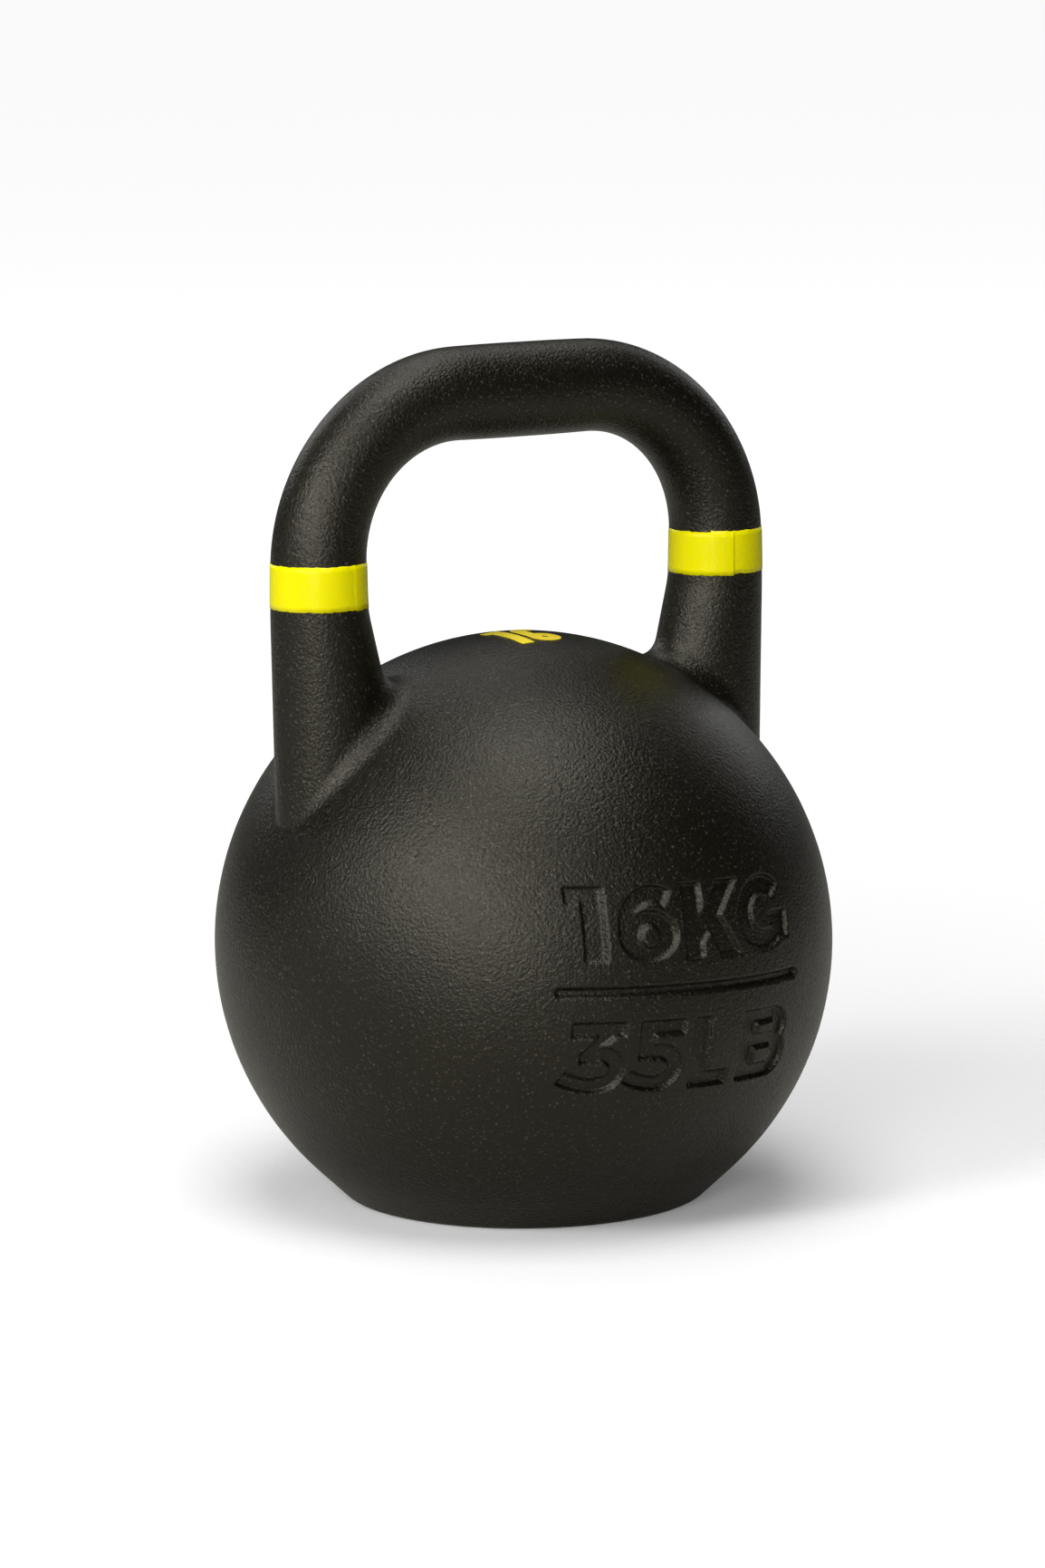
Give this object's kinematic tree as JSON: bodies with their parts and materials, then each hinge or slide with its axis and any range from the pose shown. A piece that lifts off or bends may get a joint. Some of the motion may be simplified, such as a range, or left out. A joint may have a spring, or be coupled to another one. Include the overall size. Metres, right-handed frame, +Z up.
{
  "type": "kettlebell",
  "caption": "Competition-style kettlebell: a hollow cast-iron ball with a flat foot and a looped handle, colour bands on its posts, a sunk weight mark and a plugged core hole.",
  "frame": {"origin": "centre of the flat base, on the floor", "axes": "+Z up through the ball and the handle, X along the handle's bar, -Y towards the side with the sunk weight mark"},
  "size_m": [0.21, 0.21, 0.29],
  "materials": {
    "powder_coat": "matte",
    "band_vinyl": "satin",
    "crown_paint": "satin",
    "plug_steel": "satin",
    "gasket_rubber": "matte",
    "ballast_shot": "matte"
  },
  "bodies": {
    "root": {"casting": "powder_coat", "left_band": "band_vinyl", "right_band": "band_vinyl", "crown_one": "crown_paint", "crown_six": "crown_paint", "core_plug": "plug_steel", "plug_gasket": "gasket_rubber", "trim_ballast": "ballast_shot"}
  },
  "joints": []
}
